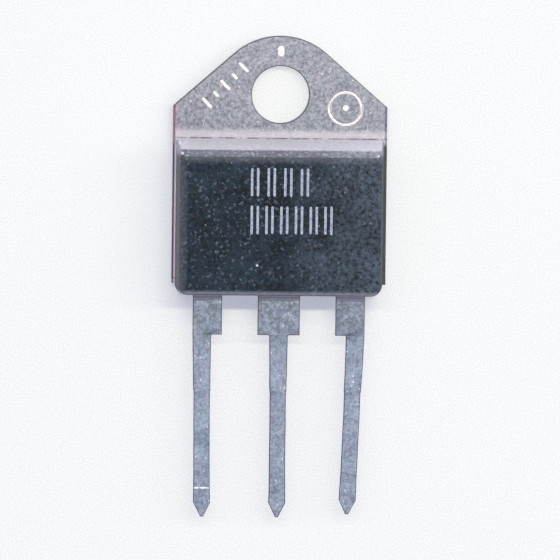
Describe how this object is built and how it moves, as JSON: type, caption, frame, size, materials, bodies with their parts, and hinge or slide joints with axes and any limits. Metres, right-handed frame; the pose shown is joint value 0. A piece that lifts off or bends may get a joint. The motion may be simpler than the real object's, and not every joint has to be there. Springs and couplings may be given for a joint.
{
  "type": "power transistor",
  "caption": "Power transistor in a flat plastic package with a copper mounting tab with a screw hole and straight solder leads.",
  "frame": {"origin": "on the axis of the mounting hole, at the back face of the tab", "axes": "+Z along the mounting hole, out of the front face; +Y towards the rounded end of the tab; the leads run towards -Y; +X towards the emitter lead"},
  "size_m": [0.0152, 0.034, 0.0048],
  "materials": {
    "plated_copper": "satin nickel plating over copper",
    "tinned_lead": "dull tin over copper",
    "epoxy": "dark slate moulded epoxy, fine speckle",
    "silicon": "polished grey",
    "solder": "dull",
    "wire": "bright"
  },
  "bodies": {
    "root": {"header_tab": "plated_copper", "base_lead": "tinned_lead", "emitter_lead": "tinned_lead", "die_solder": "solder", "silicon_die": "silicon", "base_wire": "wire", "emitter_wire_inner": "wire", "emitter_wire_outer": "wire", "moulded_body": "epoxy"}
  },
  "joints": []
}
